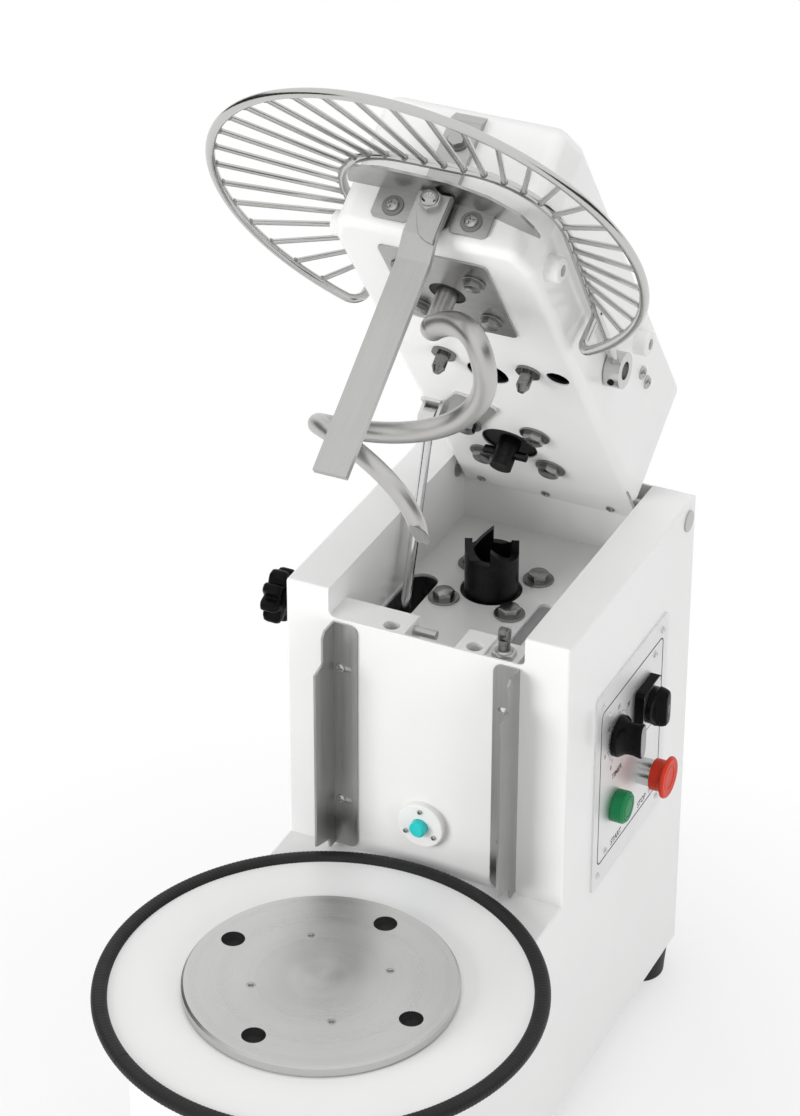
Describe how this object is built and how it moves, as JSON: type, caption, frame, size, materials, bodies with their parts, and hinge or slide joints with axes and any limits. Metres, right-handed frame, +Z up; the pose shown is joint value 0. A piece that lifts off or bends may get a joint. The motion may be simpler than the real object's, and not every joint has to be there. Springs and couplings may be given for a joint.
{
  "type": "spiral dough mixer",
  "caption": "Spiral dough mixer with a lifting head shown raised, wire guard, breaker bar, turntable disc for a removable bowl and a control panel on its side.",
  "frame": {"origin": "on the floor under the middle of the machine's bounding box with the head raised", "axes": "+Z up, -Y towards the front where the bowl stands, +X to the side with the control panel"},
  "size_m": [0.3849, 0.7416, 1.0407],
  "materials": {
    "white_paint": "smooth white powder coat",
    "stainless": "brushed stainless steel",
    "zinc_steel": "zinc plated steel",
    "dark_steel": "oiled black steel",
    "cast_housing": "painted casting",
    "motor_paint": "grey painted housing",
    "black_rubber": "matt black rubber",
    "white_plastic": "white plastic",
    "black_plastic": "black plastic",
    "black_enamel": "gloss black enamel",
    "red_plastic": "red plastic",
    "green_plastic": "green plastic",
    "turquoise_plastic": "turquoise plastic"
  },
  "bodies": {
    "cabinet_body": {"cabinet": "white_paint", "rear_panel": "white_paint", "cable_gland": "black_plastic", "bottom_plate": "white_paint", "feet": "black_rubber", "deck_plate": "white_paint", "platform": "white_paint", "edge_trim": "black_rubber", "bowl_guides": "stainless", "sensor_flange": "white_plastic", "panel_plate": "stainless", "selector_plate": "black_plastic", "button_collars": "stainless", "ledge_blocks": "white_paint", "limit_switch": "zinc_steel", "body_fasteners": "zinc_steel", "flange_bearings": "cast_housing", "gearmotor": "motor_paint", "base_chains": "dark_steel", "spring_lower_bracket": "zinc_steel"},
    "main_drive": {"main_shaft": "zinc_steel", "main_sprockets": "dark_steel", "lower_coupling": "dark_steel"},
    "motor_output": {"motor_sprocket": "dark_steel"},
    "turntable": {"turntable_disc": "stainless", "turntable_hub": "zinc_steel", "disc_screws": "zinc_steel", "bowl_sprocket": "dark_steel"},
    "bowl_sensor": {"sensor_button": "turquoise_plastic"},
    "timer": {"timer_knob": "black_plastic"},
    "selector": {"selector_knob": "black_plastic"},
    "emergency_stop": {"estop_button": "red_plastic"},
    "start": {"start_button": "green_plastic"},
    "head_switch": {"switch_plunger": "zinc_steel"},
    "head_lock": {"lock_pin": "zinc_steel", "lock_knob": "black_plastic"},
    "head": {"head_cover": "white_paint", "head_base_plate": "white_paint", "hinge_shaft": "zinc_steel", "spiral_plate": "stainless", "head_fasteners": "zinc_steel", "head_bearings": "cast_housing", "head_chain": "dark_steel", "dowels": "zinc_steel", "breaker_bar": "stainless", "guard_rail": "stainless", "top_strap": "stainless", "bumpers": "white_plastic", "spring_upper_bracket": "zinc_steel"},
    "upper_coupling": {"coupling_shaft": "zinc_steel", "coupling_pin": "zinc_steel", "coupling_sprocket": "dark_steel"},
    "spiral_tool": {"spiral": "stainless", "spiral_sprocket": "dark_steel"},
    "guard": {"guard_frame": "stainless", "guard_bars": "stainless", "guard_collars": "stainless", "guard_shaft": "stainless"},
    "gas_rod": {"spring_rod": "zinc_steel"},
    "gas_cylinder": {"spring_tube": "black_enamel"}
  },
  "joints": [
    {"name": "head_tilt", "type": "hinge", "parent": "cabinet_body", "child": "head", "pos_m": [0, 0.2929, 0.4992], "axis": [1, 0, 0], "range_deg": [0, 54.32], "stiffness_Nm_per_rad": 30, "springref_deg": -148.97},
    {"name": "guard_swing", "type": "hinge", "parent": "head", "child": "guard", "pos_m": [0, 0.19996, 0.69001], "axis": [-1, 0, 0], "range_deg": [0, 75]},
    {"name": "main_spin", "type": "hinge", "parent": "cabinet_body", "child": "main_drive", "pos_m": [-0.016, 0.1982, 0.441], "axis": [0, 0, 1], "continuous": true},
    {"name": "motor_spin", "type": "hinge", "parent": "cabinet_body", "child": "motor_output", "pos_m": [0.05, 0.1737, 0.17], "axis": [0, 0, 1], "continuous": true},
    {"name": "turntable_spin", "type": "hinge", "parent": "cabinet_body", "child": "turntable", "pos_m": [0, -0.1783, 0.2737], "axis": [0, 0, 1], "continuous": true},
    {"name": "coupling_spin", "type": "hinge", "parent": "head", "child": "upper_coupling", "pos_m": [-0.016, 0.23295, 0.57274], "axis": [0, 0.8123, 0.5833], "continuous": true},
    {"name": "spiral_spin", "type": "hinge", "parent": "head", "child": "spiral_tool", "pos_m": [-0.001, 0.06643, 0.80465], "axis": [0, 0.8123, 0.5833], "continuous": true},
    {"name": "gas_rod_swing", "type": "hinge", "parent": "head", "child": "gas_rod", "pos_m": [-0.076, 0.19576, 0.60328], "axis": [1, 0, 0], "range_deg": [-53.55, 0.5]},
    {"name": "gas_slide", "type": "slide", "parent": "gas_rod", "child": "gas_cylinder", "axis": [0, 0.2919, 0.9565], "range_m": [-0.0005, 0.13024]},
    {"name": "timer_turn", "type": "hinge", "parent": "cabinet_body", "child": "timer", "pos_m": [0.135, 0.1357, 0.366], "axis": [-1, 0, 0], "range_deg": [0, 300]},
    {"name": "selector_turn", "type": "hinge", "parent": "cabinet_body", "child": "selector", "pos_m": [0.135, 0.1937, 0.366], "axis": [-1, 0, 0], "range_deg": [0, 90]},
    {"name": "estop_press", "type": "slide", "parent": "cabinet_body", "child": "emergency_stop", "axis": [-1, 0, 0], "range_m": [0, 0.005]},
    {"name": "start_press", "type": "slide", "parent": "cabinet_body", "child": "start", "axis": [-1, 0, 0], "range_m": [0, 0.004], "stiffness_N_per_m": 500, "springref_m": -0.002},
    {"name": "sensor_press", "type": "slide", "parent": "cabinet_body", "child": "bowl_sensor", "axis": [0, 1, 0], "range_m": [0, 0.006], "stiffness_N_per_m": 400, "springref_m": -0.002},
    {"name": "switch_press", "type": "slide", "parent": "cabinet_body", "child": "head_switch", "axis": [0, 0, -1], "range_m": [0, 0.005], "stiffness_N_per_m": 400, "springref_m": -0.002},
    {"name": "lock_pull", "type": "slide", "parent": "cabinet_body", "child": "head_lock", "axis": [-1, 0, 0], "range_m": [0, 0.022], "stiffness_N_per_m": 300, "springref_m": -0.01}
  ],
  "couplings": [
    {"joint": "motor_spin", "follows": "main_spin", "ratio": 1.6667},
    {"joint": "turntable_spin", "follows": "main_spin", "ratio": 0.14474},
    {"joint": "coupling_spin", "follows": "main_spin", "ratio": 1},
    {"joint": "spiral_spin", "follows": "main_spin", "ratio": 0.9},
    {"joint": "gas_rod_swing", "follows": "head_tilt", "ratio": -0.97668},
    {"joint": "gas_slide", "follows": "head_tilt", "m_per_rad": 0.13685}
  ]
}
